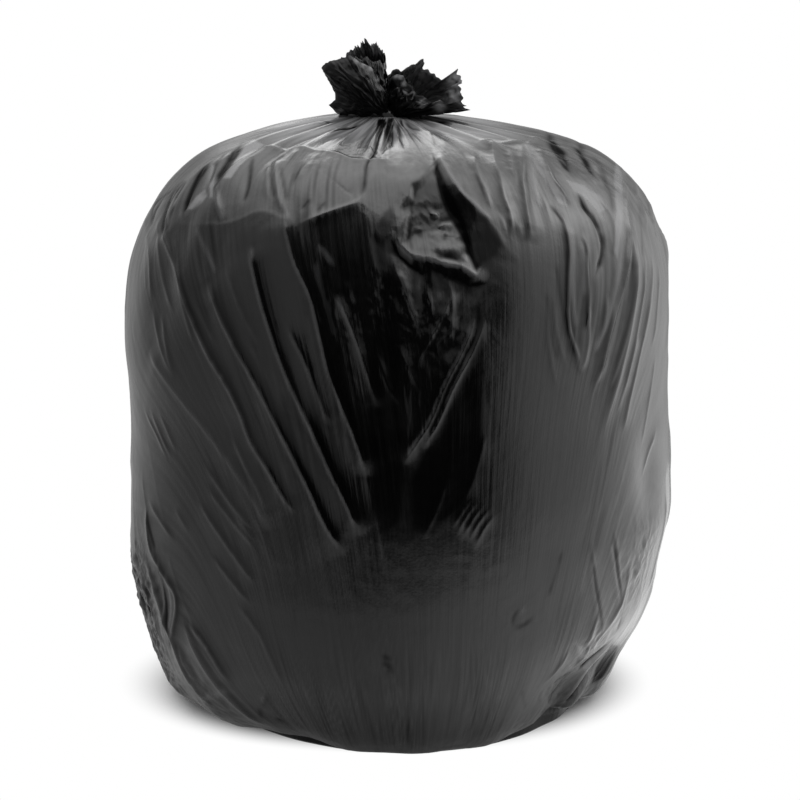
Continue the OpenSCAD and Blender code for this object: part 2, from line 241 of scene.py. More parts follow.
# Hollows where the film falls in: place in the picture, half width, half height and depth in mm.
HOLLOWS = [
    (440, 212, 34, 26, 3.5), (400, 238, 20, 14, 2), (470, 300, 24, 30, 2), (205, 300, 30, 60, 1.5),
    (610, 470, 40, 50, -2.5), (648, 470, 14, 34, 3),
]

# Crumpled patch below the knot: places in the picture, each with how far it stands out in mm. The film is
# flat between them.
PATCH = [
    405,118,0, 380,150,0, 372,190,0, 370,235,0, 376,268,0, 396,300,0, 420,318,0, 450,316,0, 480,302,0,
    504,285,0, 520,262,0, 524,225,0, 512,180,0, 480,145,0, 450,128,0, 431,151,1, 440,160,2.5, 448,175,3.4,
    460,193,3.6, 474,208,3.6, 487,221,3.2, 496,233,2.6, 505,248,1.4, 436,168,-1.5, 440,184,-2.2, 447,199,-2.4,
    456,213,-2.4, 463,228,-2.4, 468,242,-2.2, 473,256,-1.8, 478,268,-1, 487,262,0, 496,258,0.4, 484,240,0.4,
    474,226,0.5, 486,283,0.5, 490,274,0.2, 482,268,0.6, 430,169,1, 420,180,1.5, 411,183,2, 408,197,2,
    406,219,2, 404,234,2, 431,175,-1, 421,186,-1, 415,190,-0.8, 414,200,-0.8, 411,220,-0.8, 409,234,-0.5,
    430,200,-1.2, 428,222,-2.6, 440,212,-2.8, 450,224,-2.6, 428,234,-2, 441,231,-2.5, 452,236,-2.5,
    465,251,-1.5, 452,250,1.2, 434,256,2.4, 429,250,1, 442,257,0.4, 456,260,0.2, 386,238,1, 392,236,2,
    401,244,2.5, 412,257,3, 423,259,2.5, 436,262,3, 449,265,3.5, 460,267,3.5, 470,273,3.2, 477,277,3,
    384,251,-0.5, 396,252,-1.2, 412,266,-1.2, 423,276,-1.5, 438,274,0, 452,279,-0.5, 466,284,-0.5,
    440,292,0.6, 424,292,-1, 406,286,0.8, 398,210,0.5, 395,180,0.5, 415,160,0.5, 470,178,0.8, 490,200,0.8,
    506,222,0.4,
]

# Thin lines of the film, each a low crease with a painted highlight along it, or painted shade if negative:
# how strong, width in mm, then places in the picture.
LINES = [
    (1, 1.6, 429,130, 435,149, 448,172, 460,191, 474,205, 488,218, 493,224),
    (0.9, 1.3, 391,237, 400,247, 411,256, 426,259, 440,262, 453,264, 463,267, 471,273, 479,276),
    (0.9, 1.3, 432,213, 437,211, 440,214), (0.9, 1.4, 438,227, 445,223, 453,219),
    (0.5, 1.2, 471,240, 476,254, 481,266), (0.5, 1.2, 398,258, 406,268, 412,280),
    (0.45, 1.3, 428,233, 438,230, 448,233, 460,245), (-0.9, 1.4, 413,196, 410,214, 407,237),
    (-0.4, 1.2, 423,204, 422,218, 420,232), (-0.8, 1.4, 430,132, 436,150, 440,160),
    (-0.8, 1.5, 394,250, 404,262, 418,275), (-0.9, 1.8, 474,166, 478,180, 484,194, 488,204),
    (-0.6, 1.3, 491,158, 498,178, 506,200, 511,222), (-0.8, 1.5, 520,145, 524,170, 528,196, 533,236),
    (-0.5, 1.2, 505,205, 511,220, 514,238), (-0.4, 1.2, 538,160, 546,182, 556,204),
    (-0.5, 1.2, 461,152, 468,166, 474,176), (-0.7, 1.4, 400,118, 402,123, 404,127),
    # left shoulder
    (-0.8, 1.6, 254,159, 248,180, 241,203), (-1, 3.6, 208,168, 195,186, 186,203, 182,216),
    (-0.9, 3, 228,157, 219,171, 215,187, 219,201), (-1, 3.4, 238,146, 232,154, 227,162),
    (-1, 3.6, 182,183, 168,203, 163,226, 166,240), (-0.9, 3, 171,190, 155,206, 150,228),
    (0.9, 3.4, 213,166, 206,180, 199,193), (1, 5, 204,196, 198,202, 191,209),
    (0.9, 2.4, 216,184, 219,202, 223,223), (0.9, 3.6, 240,162, 231,169, 223,178),
    (0.8, 2.4, 176,196, 170,212, 170,228), (0.8, 1.6, 275,158, 278,180, 283,204, 290,222),
    (-0.6, 1.5, 271,160, 272,180, 275,202), (-0.6, 1.5, 281,166, 284,186, 288,204),
    (0.6, 1.8, 196,226, 205,250, 216,275), (0.5, 1.5, 148,230, 146,260, 148,292),
    # inside the dark front
    (0.7, 1.8, 318,242, 326,254, 336,268), (0.35, 4, 315,258, 320,282, 328,310, 338,342),
    (0.8, 1.8, 336,293, 346,316, 358,342, 366,362), (0.5, 1.5, 350,288, 353,298, 356,308),
    (0.5, 1.5, 372,345, 380,362, 390,384), (0.45, 2.4, 398,262, 402,284, 410,304, 420,326),
    (0.5, 2, 430,268, 436,284, 440,304),
    # right shoulder
    (-1, 3.4, 576,191, 587,209, 596,223, 603,233), (-0.8, 2.2, 603,233, 604,251, 599,272),
    (-1, 2.4, 521,144, 524,176, 527,204, 530,236), (0.9, 3.4, 527,146, 531,170, 535,190, 540,210),
    (-0.9, 2, 539,153, 553,179, 573,210), (0.8, 2.4, 536,158, 549,182, 566,206),
    (-0.9, 2.2, 548,204, 563,223, 567,243, 567,277, 569,310, 574,350),
    (0.8, 2, 571,226, 572,250, 572,290, 575,330), (-0.9, 2.2, 582,238, 587,266, 587,299, 583,333),
    (0.8, 1.8, 580,240, 583,266, 583,300), (0.9, 2, 588,306, 585,330, 579,372),
    (1, 2.6, 618,162, 621,204, 621,240, 616,280, 604,322, 592,352),
    (-0.9, 3, 624,176, 627,232, 624,274, 610,330, 599,358), (-0.7, 2.4, 629,176, 644,204, 654,240),
    (0.7, 2.4, 634,176, 650,208, 659,246), (-0.6, 2.2, 634,200, 640,230, 640,262),
    (0.6, 2, 630,210, 634,240, 633,272), (-0.5, 2, 645,262, 643,300, 634,345),
    (0.5, 2, 650,262, 649,300, 641,345), (-0.5, 1.6, 598,200, 610,216, 614,240, 612,262),
    (0.6, 2.2, 590,200, 600,214, 607,228), (-0.5, 1.6, 556,262, 560,300, 566,340),
    (-0.4, 1.5, 545,290, 550,330, 556,362), (-0.7, 1.6, 488,141, 491,148, 495,154),
    (-0.4, 1.4, 500,150, 508,160, 512,172), (-0.5, 1.6, 556,182, 562,190, 566,200),
    # creases by the right foot
    (-0.9, 1.8, 612,542, 616,572, 622,606, 620,634), (0.8, 2, 608,542, 613,572, 618,606),
    (-0.8, 1.8, 591,560, 595,590, 601,620, 603,640), (0.6, 1.6, 588,556, 592,586, 597,614),
    (-0.7, 1.6, 561,548, 556,570, 546,598), (0.5, 1.6, 588,545, 584,565, 579,596),
    (-0.7, 1.2, 520,606, 514,616, 511,628), (-0.8, 1.3, 512,628, 522,624, 534,616),
    (0.5, 1.2, 523,604, 518,616), (0.6, 2.4, 578,644, 584,656, 590,664),
    (0.7, 2.4, 572,668, 580,676, 588,682), (-1, 6, 618,640, 607,661, 594,684),
    (-0.5, 1.4, 548,694, 545,706, 550,714), (-0.5, 1.4, 557,690, 556,702, 560,708),
    (-0.5, 1.4, 566,684, 566,694, 570,700), (-0.4, 1.4, 521,690, 526,706, 530,716),
    (0.4, 1.4, 552,692, 550,704, 554,712), (0.4, 1.4, 562,686, 561,698, 565,704),
    # left foot
    (-1, 3.4, 141,585, 150,602, 158,630, 165,650), (-0.9, 3, 137,560, 143,576, 148,592),
    (-1, 3, 157,556, 166,590, 172,625, 176,650), (-0.8, 2.4, 148,506, 152,530, 158,552),
    (1, 4, 150,570, 160,600, 167,640), (0.9, 3.4, 138,545, 146,575, 150,588),
    (0.9, 2.6, 167,570, 173,600, 174,630), (0.8, 3, 160,650, 167,668), (0.35, 9, 189,640, 200,664, 212,682),
    (0.6, 5, 200,702, 214,694, 230,688), (-0.6, 3, 262,700, 258,716, 262,724), (-0.8, 3, 270,722, 284,728),
    (-0.9, 1.5, 379,655, 393,661), (-0.9, 1.5, 380,662, 394,667), (-0.7, 1.2, 386,668, 394,672),
]

# Pockets between folds, where little light gets in: how dark, then the outline in the picture.
POCKETS = [
    (0.97, 431,150, 436,158, 441,170, 447,183, 455,198, 464,216, 471,236, 476,256, 479,269, 475,272, 469,258,
     462,241, 454,226, 446,214, 440,200, 436,184, 433,166),
    (0.5, 433,150, 446,168, 456,186, 470,204, 486,217, 492,230, 502,244, 496,256, 485,262, 478,268, 470,236,
     460,210, 446,182), (0.5, 408,186, 424,180, 440,196, 452,222, 434,232, 408,236, 404,214),
    (0.8, 436,163, 428,169, 418,179, 410,183, 411,188, 421,185, 430,177, 438,171),
    (0.55, 424,184, 434,176, 440,198, 450,218, 440,212, 430,207, 424,200),
    (0.9, 436,217, 443,216, 452,213, 455,220, 447,224, 439,224),
    (0.75, 434,259, 443,252, 454,249, 461,254, 466,262, 452,261, 440,259),
    (0.6, 425,263, 440,267, 455,269, 468,277, 477,282, 470,294, 440,292, 424,285),
    (0.55, 372,236, 384,212, 392,206, 398,226, 388,236, 384,252, 396,290, 384,290),
    (0.95, 612,642, 620,645, 611,664, 598,686, 590,688, 595,668),
    (0.4, 502,142, 521,142, 524,172, 514,180, 504,160),
    (0.97, 545,138, 556,142, 567,153, 571,174, 563,169, 556,158, 549,148),
    (0.97, 572,146, 582,151, 590,163, 596,178, 588,173, 580,160),
    (0.45, 556,158, 572,160, 588,170, 600,180, 590,182, 572,178),
    # folds of the left shoulder
    (0.92, 243,141, 236,148, 230,158, 222,166, 216,176, 216,194, 219,190, 221,180, 227,172, 235,161, 241,151),
    (0.95, 211,161, 203,167, 196,176, 189,190, 184,203, 181,216, 183,218, 187,206, 194,192, 201,180, 208,170),
    (0.92, 174,202, 168,211, 164,222, 165,232, 168,228, 171,216, 175,207),
    (0.75, 184,179, 170,190, 152,204, 153,207, 172,196, 186,183),
    # the dark front on both sides of the folds in its middle
    (0.6, 398,264, 388,270, 380,300, 372,345, 368,395, 370,450, 374,500, 382,536, 400,520, 402,470, 400,420,
     398,380, 404,340, 402,300),
    (0.72, 478,300, 484,322, 483,470, 466,500, 448,516, 432,536, 412,530, 412,480, 432,438, 454,400, 472,350),
    (0.28, 404,134, 430,131, 452,135, 464,148, 440,160, 420,162, 402,160),
    (0.6, 592,155, 602,163, 609,180, 613,200, 606,192, 598,172),
    (0.85, 378,119, 386,119, 382,134, 377,150, 373,160, 371,158, 374,142),
    (0.8, 388,118, 394,118, 390,132, 384,146, 381,150, 383,138),
]

# Places where the film bends over an edge and catches the light, painted as sheen: how much paler, then the
# outline in the picture.
GLEAMS = [
    (0.3, 253,139, 244,147, 237,158, 229,168, 223,178, 231,178, 240,165, 252,153, 264,145),
    (0.25, 205,189, 196,197, 187,209, 192,209, 201,203, 207,196),
    (0.25, 212,165, 209,178, 210,197, 213,198, 214,180, 217,168),
    (0.2, 524,144, 532,146, 545,160, 560,185, 567,206, 558,202, 545,180, 534,164),
    (0.2, 617,160, 622,176, 623,220, 618,260, 614,250, 616,210, 614,176),
    (0.16, 566,180, 585,186, 600,196, 607,208, 600,213, 588,200, 574,190),
    (0.16, 576,643, 588,650, 592,664, 590,678, 583,668, 579,656),
]

# Crumpled places, with small sharp-edged facets: place in the picture, size in mm, strength.
CRUMPLES = [
    (446, 240, 24, 0.8), (425, 215, 18, 0.8), (596, 650, 20, 1.2), (575, 690, 20, 0.9), (146, 590, 30, 3.4),
    (165, 660, 26, 3), (205, 695, 26, 1.1), (590, 170, 26, 0.9), (405, 300, 30, 0.9), (450, 330, 30, 0.8),
    (555, 158, 20, 0.9), (640, 560, 30, 1), (520, 620, 20, 0.4), (345, 320, 30, 0.5), (330, 150, 50, 0.35),
    (480, 160, 50, 0.35),
]

# Places of the picture where the film is drawn tight, with half width and half height in pixels.
CALM = [
    (525, 400, 38, 190), (560, 480, 40, 90), (430, 620, 90, 40), (300, 620, 60, 60), (270, 300, 40, 60),
    (494, 330, 22, 120),
]

# Seed, number round the bag, stretch along the film in mm and strength.
STREAKS = [(1, 34, 190, 1.0), (2, 80, 120, 0.36), (3, 190, 80, 0.20), (4, 330, 60, 0.09)]
# Fine lines of painted highlight and painted shade: seed, number round the bag, stretch along the film in mm
# and strength.
CRINKLE_SHADING_LINES = [(23, 170, 85, 0.85), (24, 360, 60, 0.65)]
# Seed, number round the bag, height in mm and how far they run.
NECK_GATHERS = [(7, 44, 0.8, 75), (8, 96, 0.35, 80)]
# Seed, size in mm and height.
FACET_SIZES = [(11, 20, 1.0), (12, 11, 0.55), (13, 6, 0.28)]
LOOSE_WRINKLES = 260

# ---------------------------------------------------------------- small maths

rng = np.random.RandomState(20)


def eased(t):
    t = np.clip(t, 0.0, 1.0)
    return t * t * (3.0 - 2.0 * t)


def bell(t):
    return np.exp(-t * t)


def turn(a):
    """Angle in degrees brought to within half a turn of zero."""
    return (a + 180.0) % 360.0 - 180.0


def cosd(x):
    return np.cos(np.radians(x))


def sind(x):
    return np.sin(np.radians(x))


def pairs(numbers):
    """A flat row of numbers as x, y pairs."""
    return np.reshape(numbers, (-1, 2))


def steps_along(points):
    """Distance along a line of points, from 0."""
    return np.concatenate([[0], np.cumsum(np.linalg.norm(np.diff(points, axis=0), axis=1))])


def softened(field, turns):
    """The field after a few rounds of averaging with its neighbours."""
    for _ in range(turns):
        field = (field + np.roll(field, 1, 1) + np.roll(field, -1, 1)) / 3
        field[1:-1] = (field[1:-1] + field[2:] + field[:-2]) / 3
    return field


def row_at(rows, u):
    """Smooth curve through rows of numbers, at row number u."""
    u = np.asarray(u, float)
    last = len(rows) - 1
    i = np.minimum(np.floor(u).astype(int), last - 1)
    f = (u - i)[..., None]
    p0, p1 = rows[np.maximum(i - 1, 0)], rows[i]
    p2, p3 = rows[i + 1], rows[np.minimum(i + 2, last)]
    return p1 + 0.5 * f * (p2 - p0 + f * (2 * p0 - 5 * p1 + 4 * p2 - p3 + f * (3 * (p1 - p2) + p3 - p0)))


def inside_by(edge, x, y):
    """How far points lie inside a closed outline, negative outside."""
    inside = np.zeros(x.shape, bool)
    near = np.full(x.shape, 1e9)
    for (x0, y0), (x1, y1) in zip(edge, np.roll(edge, -1, axis=0)):
        crosses = (y0 > y) != (y1 > y)
        at = x0 + (x1 - x0) * (y - y0) / (y1 - y0 if y1 != y0 else 1e-9)
        inside ^= crosses & (x < at)
        f = (x - x0) * (x1 - x0) + (y - y0) * (y1 - y0)
        f = np.clip(f / ((x1 - x0) ** 2 + (y1 - y0) ** 2 + 1e-12), 0, 1)
        near = np.minimum(near, np.hypot(x - x0 - f * (x1 - x0), y - y0 - f * (y1 - y0)))
    return np.where(inside, near, -near)


class Noise:
    """Smooth noise on a plane, from about -1 to 1, that may repeat along x."""

    def __init__(self, seed, size=512):
        a = np.random.RandomState(seed).uniform(0, 2 * np.pi, (size, size))
        self.gx, self.gy, self.size = np.cos(a), np.sin(a), size

    def __call__(self, x, y, repeat=None):
        x0, y0 = np.floor(x).astype(int), np.floor(y).astype(int)
        fx, fy = x - x0, y - y0
        wx = fx * fx * fx * (fx * (fx * 6 - 15) + 10)
        wy = fy * fy * fy * (fy * (fy * 6 - 15) + 10)

        def corner(i, j):
            xi = (x0 + i) % repeat if repeat else x0 + i
            xi, yj = xi % self.size, (y0 + j) % self.size
            return self.gx[xi, yj] * (fx - i) + self.gy[xi, yj] * (fy - j)

        low = corner(0, 0) * (1 - wx) + corner(1, 0) * wx
        high = corner(0, 1) * (1 - wx) + corner(1, 1) * wx
        return 1.5 * (low * (1 - wy) + high * wy)


# ---------------------------------------------------------------- the plain bag

HALF_W, HALF_D = BODY_W / 2, BODY_D / 2
RUN = HALF_W * math.pi / 180


def reach(row, a):
    right, left = row[..., 1] * HALF_W, row[..., 2] * HALF_W
    front, back = row[..., 3] * HALF_D, row[..., 4] * HALF_D
    return (
        (right + left + front + back) / 4
        + (right - left) / 2 * cosd(a)
        + (back - front) / 2 * sind(a)
        + (right + left - front - back) / 4 * cosd(2 * a)
    )


def plain(u, a):
    """Plain bag at row number u and angle a: place, outward direction, share of height and reach, in mm."""
    row = row_at(SIDE, u)
    step = row_at(SIDE, np.minimum(u + 0.1, len(SIDE) - 1)) - row_at(SIDE, np.maximum(u - 0.1, 0))
    r = reach(row, a)
    rise, run = step[..., 0] * BODY_H, -reach(step, a)
    size = np.hypot(rise, run) + 1e-9
    drift = NECK_LEFT * np.clip(row[..., 0], 0, 2) ** 4
    place = np.stack([r * cosd(a) - drift, r * sind(a), row[..., 0] * BODY_H], -1)
    out = np.stack([rise / size * cosd(a), rise / size * sind(a), run / size], -1)
    return place, out, row[..., 0], r


def column_of(a):
    """Column angle of the solid's mesh that lies at an angle of the bag."""
    t = np.array(a, float)
    for _ in range(30):
        t = a + COLUMN_SHIFT * cosd(t)
    return t


# The skin is one grid of points. The front half has finer columns than the back, and the grid is cut into
# four sectors, from the right round the back to the left and on across the front.
RINGS = 440
BACK_COLUMNS, FRONT_COLUMNS = 200, 588


def ring_rows():
    """Row numbers of the rings, evenly spaced along the film from foot to neck."""
    u = np.linspace(0, len(SIDE) - 1, 4000)
    p = plain(u, np.full(u.shape, 270.0))[0]
    along = steps_along(p)
    return np.interp(np.linspace(0, along[-1], RINGS), along, u)


def column_angles():
    back = np.linspace(0, 180, BACK_COLUMNS, endpoint=False)
    front = np.linspace(180, 360, FRONT_COLUMNS, endpoint=False)
    return np.concatenate([back, front])


COLUMNS = BACK_COLUMNS + FRONT_COLUMNS
U, A = (g.copy() for g in np.meshgrid(ring_rows(), column_angles(), indexing="ij"))
PLACE, OUT, SHARE, REACH = plain(U, A)
T = column_of(A)
Z = SHARE * BODY_H
CENTRE = np.append((PLACE[..., :2].min((0, 1)) + PLACE[..., :2].max((0, 1))) / 2, 0.0)


def in_metres(p):
    return (p - CENTRE) * MM


# ---------------------------------------------------------------- wrinkles of the skin

pixels = to_pixels(in_metres(PLACE))
facing = ((in_metres(PLACE) - EYE) * OUT).sum(-1) < 0
pixels[~facing] = 1e6


def shown_at(x, y):
    """Index of the plain bag's point that shows at a pixel."""
    d = (pixels[..., 0] - x) ** 2 + (pixels[..., 1] - y) ** 2
    return np.unravel_index(np.argmin(d), d.shape)


def smooth_line(points, step=3.0):
    """Evenly stepped smooth line through points in space."""
    points = np.array(points, float)
    fine = row_at(points, np.linspace(0, len(points) - 1, 12 * len(points))) if len(points) > 2 else points
    along = steps_along(fine)
    s = np.linspace(0, along[-1], max(int(along[-1] / step), 2) + 1)
    return np.stack([np.interp(s, along, fine[:, k]) for k in range(3)], 1)


def skin_line(numbers):
    """Smooth line over the plain bag through places of the picture."""
    return smooth_line([PLACE[shown_at(x, y)] for x, y in pairs(numbers)])


# How much a place is shaded by a fold beside it and how much it catches light as a crest, from 0 to 1.
SHADED, LIT = np.zeros(A.shape), np.zeros(A.shape)


def crease(height, steep, gentle, side, line, field, painted_shading=0.0, end=18.0):
    """Adds one crease to the field: a crest that drops quickly on one side and slowly on the other."""
    margin = 3.5 * max(gentle, 3 * steep)
    lo, hi = line.min(0) - margin, line.max(0) + margin
    rows = np.nonzero((Z[:, 0] > lo[2]) & (Z[:, 0] < hi[2]))[0]
    if not len(rows):
        return
    band = slice(rows[0], rows[-1] + 1)
    p = PLACE[band]
    near = np.nonzero(((p > lo) & (p < hi)).all(-1))
    if not len(near[0]):
        return
    p, n = p[near], OUT[band][near]
    best, along, right = np.full(len(p), 1e9), np.zeros(len(p)), np.zeros(len(p))
    for k in range(len(line) - 1):
        a, ab = line[k], line[k + 1] - line[k]
        f = np.clip(((p - a) @ ab) / (ab @ ab), 0, 1)
        gap = p - (a + f[:, None] * ab)
        d = (gap * gap).sum(1)
        closer = d < best
        best[closer] = d[closer]
        along[closer] = (k + f[closer]) / (len(line) - 1)
        right[closer] = -(np.cross(ab, n[closer]) * gap[closer]).sum(1)
    d = np.sqrt(best + 0.36) - 0.6
    size = np.linalg.norm(np.diff(line, axis=0), axis=1).sum()
    end = min(end, 0.4 * size)
    taper = eased(along * size / end) * eased((1 - along) * size / end)
    slow = 0.25 * np.exp(-d / 1.8) + 0.75 * np.exp(-d / gentle)
    fast = 0.65 * np.exp(-d / steep) + 0.35 * np.exp(-d / (3.0 * steep))
    shape = slow if side == 0 else np.where(right * side > 0, fast, slow)
    field[band][near] += height * taper * shape
    # Painted highlight along the crest, painted shade down the steep flank or along a groove.
    if painted_shading:
        painted_shading = painted_shading * taper
        falls = right * side > 0 if side else np.zeros(len(p), bool)
        crest = painted_shading * np.exp(-((d / (1.3 if side else 0.6 * steep)) ** 2)) * ~falls
        dark = painted_shading * np.exp(-d / (0.42 * gentle)) * falls
        bright = LIT if height > 0 else SHADED
        bright[band][near] = np.maximum(bright[band][near], crest)
        SHADED[band][near] = np.maximum(SHADED[band][near], dark)


film = np.zeros(A.shape)

# What the waste pushes out, and where the film falls in between.
for angle, share, size, height in BUMPS:
    away = np.hypot(turn(A - angle) * RUN, Z - share * BODY_H) / (size * BUMP_R)
    film += BUMP_H * height * bell(away)
for x, y, wide, high, depth in HOLLOWS:
    across, inward, upward = np.moveaxis(PLACE - PLACE[shown_at(x, y)], -1, 0)
    sideways, upright = np.hypot(across, inward * 0.4) / wide, np.hypot(upward, inward * 0.9) / high
    film -= depth * bell(np.hypot(sideways, upright))

# Corners of the foot that are tucked in.
right_corner = 15 * bell(turn(A - 328) / 24) * bell((Z - 36) / 40)
film -= right_corner + 3 * bell(turn(A - 216) / 18) * (1 - eased(Z / 60))

# Gathers of the crown.
wave = cosd(PLEAT_COUNT * T + 50 * sind(3 * T) + 35 * sind(5 * T + 40))
long = PLEAT_REACH * (1 + 0.35 * sind(4 * T + 20) + 0.25 * sind(7 * T))
fade = bell(np.maximum(REACH - 4 * NECK_R, 0) / long)
crown = eased((SHARE - 0.6) / 0.15)
in_front = bell(turn(A - 272) / 45)
film += 0.75 * (1 - 0.8 * in_front) * crown * PLEAT_H * (wave - 0.6) * fade * eased(REACH / (4 * NECK_R))

# Tucks of the base.
ahead = bell(turn(A - 268) / 60)
tucks = cosd(17 * T + 60 * sind(2 * T)) - 0.7
film += TUCK_H * tucks * (1 - eased(SHARE / TUCK_SHARE)) * (1 - 0.85 * ahead)

# Broad folds of the sides and back.
for t0, u0, u1, drift, height in FAR_FOLDS:
    s = (u0 - U) / (u0 - u1)
    crest = t0 + drift * (u0 - U) * 2 * 360 / SOLID_COLUMNS
    d = turn((T - COLUMN_SHIFT * cosd(T)) - (crest - COLUMN_SHIFT * cosd(crest))) * RUN * np.sign(drift)
    near = np.sqrt(d * d + 0.5) - 0.7
    steep = 1.45 * np.exp(-near / 7) - 0.45 * np.exp(-near / 20)
    gentle = 0.45 * np.exp(-near / 7) + 0.55 * np.exp(-near / 18)
    rise = 0.75 * FOLD_H * height * eased(4 * s) * eased(4 - 4 * s) * np.where(d > 0, steep, gentle)
    film += np.where((s > 0) & (s < 1), rise, 0)


def facets(points, field):
    """Adds flat facets between places of the picture, each with its height, to the field."""
    points = np.reshape(points, (-1, 3)).astype(float)
    flat = delaunay_2d_cdt([Vector(q[:2]) for q in points], [], [], 0, 1e-4)
    places, heights = np.array([v[:] for v in flat[0]]), points[[k[0] for k in flat[3]], 2]
    rows = np.nonzero((pixels[..., 0] < 1e5).any(1))[0]
    x, y = pixels[rows, :, 0], pixels[rows, :, 1]
    lift = np.zeros(x.shape)
    for i, j, k in flat[2]:
        (x0, y0), (x1, y1), (x2, y2) = places[[i, j, k]]
        area = (x1 - x0) * (y2 - y0) - (x2 - x0) * (y1 - y0)
        f = ((x - x0) * (y2 - y0) - (x2 - x0) * (y - y0)) / area
        g = ((x1 - x0) * (y - y0) - (x - x0) * (y1 - y0)) / area
        inside = (f >= 0) & (g >= 0) & (f + g <= 1)
        lift[inside] = (heights[i] + f * (heights[j] - heights[i]) + g * (heights[k] - heights[i]))[inside]
    field[rows] += softened(lift, 1)


facets(PATCH, film)
# Each crease also gets painted highlight and painted shade, from its height.
for height, steep, gentle, side, *line in CREASES:
    painted_shading = min(abs(height) / 2.4, 0.95) * (gentle < 16)
    if height < 0:
        height *= 0.6
    crease(height, steep, gentle, side, skin_line(line), film, painted_shading)
for painted_shading, wide, *line in LINES:
    crease(0.5 * painted_shading, wide, 1.4 * wide, 0, skin_line(line), film, abs(painted_shading), 8.0)


def pull(a):
    """Way the film is pulled at an angle: sideways drift per millimetre down."""
    left = bell(turn(a - 232) / 34)
    right = bell(turn(a - 318) / 30)
    middle = bell(turn(a - 270) / 75)
    return 0.62 * left - 0.35 * right + (1 - middle) * 0.3 * sind(2 * a + 30)


def trail(a, z, length, step=6.0):
    """Line that follows the pull down the side from an angle and height."""
    points = []
    for _ in range(max(int(length / step), 2)):
        u = np.interp(np.clip(z / BODY_H, 0.002, 0.998), SIDE[:, 0], np.arange(len(SIDE)))
        p, _, _, r = plain(np.array(u), np.array(a))
        points.append(p)
        k = float(pull(a))
        size = math.hypot(1, k)
        a += math.degrees(step * k / size / max(float(r), 30))
        z -= step / size
        if z < 12:
            break
    return np.array(points)


# Loose wrinkles. On the front they keep to where the picture shows them.
loose = np.zeros(A.shape)
for _ in range(LOOSE_WRINKLES):
    a, z = rng.uniform(0, 360), rng.uniform(60, 455)
    length, height = rng.uniform(40, 190), rng.uniform(0.25, 1.5)
    steep, gentle = rng.uniform(2.0, 4.5), rng.uniform(5.0, 14.0)
    side = rng.choice([-1, 1])
    on_front = 195 < a < 345
    if on_front and rng.uniform() > 0.45:
        continue
    line = trail(a, z, length)
    if len(line) > 2:
        crease(height * (0.4 if on_front else 1.2), steep, gentle, side, line, loose)


def zone(x, y, wide, high):
    """1 at a place of the picture, fading to 0 at its edge."""
    return bell(np.hypot((pixels[..., 0] - x) / wide, (pixels[..., 1] - y) / high))


calm = np.clip(sum(zone(*spot) for spot in CALM), 0, 1)
film += loose * (1 - 0.85 * calm)

# Fine streaks of the film, drawn out along the pull.
lean = np.zeros(A.shape)
for k in range(RINGS - 2, -1, -1):
    lean[k] = lean[k + 1] + pull(A[k]) * (Z[k + 1] - Z[k])
ACROSS = (A * RUN - lean) / 360 / RUN
ALONG = steps_along(PLACE[:, 0])[:, None] + 0 * A


def pulled_noise(seed, count, stretch):
    """Noise drawn out along the pull of the film, with a count of waves round the bag."""
    return Noise(seed)(ACROSS * count, ALONG / stretch, repeat=count)


def round_noise(seed, count, rows):
    """Noise with a count of waves round the bag."""
    return Noise(seed)(A / 360 * count, rows, repeat=count)


streak = np.zeros(A.shape)
for seed, count, stretch, height in STREAKS:
    patchy = 0.5 + 0.8 * pulled_noise(seed + 50, 12, 140)
    streak += height * (0.55 - np.abs(pulled_noise(seed, count, stretch))) * np.clip(patchy, 0.08, 1.2)
belly = eased((SHARE - 0.03) / 0.1) * (1 - eased((SHARE - 0.88) / 0.1))
film += streak * belly * (1 - 0.8 * calm)

# Fine gathers near the neck.
for seed, count, height, far in NECK_GATHERS:
    gather = 0.5 - np.abs(round_noise(seed, count, REACH / 110))
    film += height * gather * crown * eased((REACH - 24) / 40) * bell(np.maximum(REACH - 45, 0) / far)

# Crumpled places, also by the foot and here and there on the back.
crumple = np.zeros(A.shape)
for seed, scale, height in FACET_SIZES:
    crumple += height * (0.45 - np.abs(round_noise(seed, round(360 * RUN / scale), ALONG / scale)))
where = np.zeros(A.shape)
for x, y, size, height in CRUMPLES:
    where += height * bell(np.linalg.norm(PLACE - PLACE[shown_at(x, y)], axis=-1) / size)
back_side = eased(turn(A - 90) / 40 + 2.6) * eased(2.6 - turn(A - 90) / 40)
by_foot = (1 - eased(SHARE / 0.09)) * (1 - 0.85 * ahead)
where += by_foot + 0.10 + 0.4 * back_side * eased(round_noise(15, 9, ALONG / 150) + 0.4)
film += crumple * where * (1 - eased((SHARE - 0.93) / 0.06))

film *= 1 - eased((SHARE - 0.985) / 0.015)
SKIN = PLACE + OUT * film[..., None]
shown = to_pixels(in_metres(SKIN))
shown[~facing] = 1e6


def within(edge, blur):
    """1 where the skin shows inside an outline of the picture, fading to 0 across its edge."""
    return eased(inside_by(pairs(edge), shown[..., 0], shown[..., 1]) / blur + 0.5)


# Painted shade in the pockets between folds.
for painted_shading, *edge in POCKETS:
    SHADED = np.maximum(SHADED, painted_shading * within(edge, 2.4))
# Narrow grooves get little light, and neither does the film by the ground in front: painted shade. Ridges get
# a painted highlight.
groove = softened(film, 5) - film
off_neck = 0.12 + 0.88 * eased((REACH - 70) / 60)
SHADED = np.maximum(SHADED, 0.9 * np.clip(groove / 0.30 - 0.15, 0, 1) * off_neck)
SHADED = np.maximum(SHADED, (0.25 + 0.45 * ahead) * (1 - eased((Z - 1) / 11)))
LIT = np.maximum(LIT, 0.5 * np.clip(-groove / 0.30 - 0.25, 0, 1))
# Painted shading: painted highlight above 0, painted shade below.
PAINTED_SHADING = softened(LIT, 1) - softened(SHADED, 1)

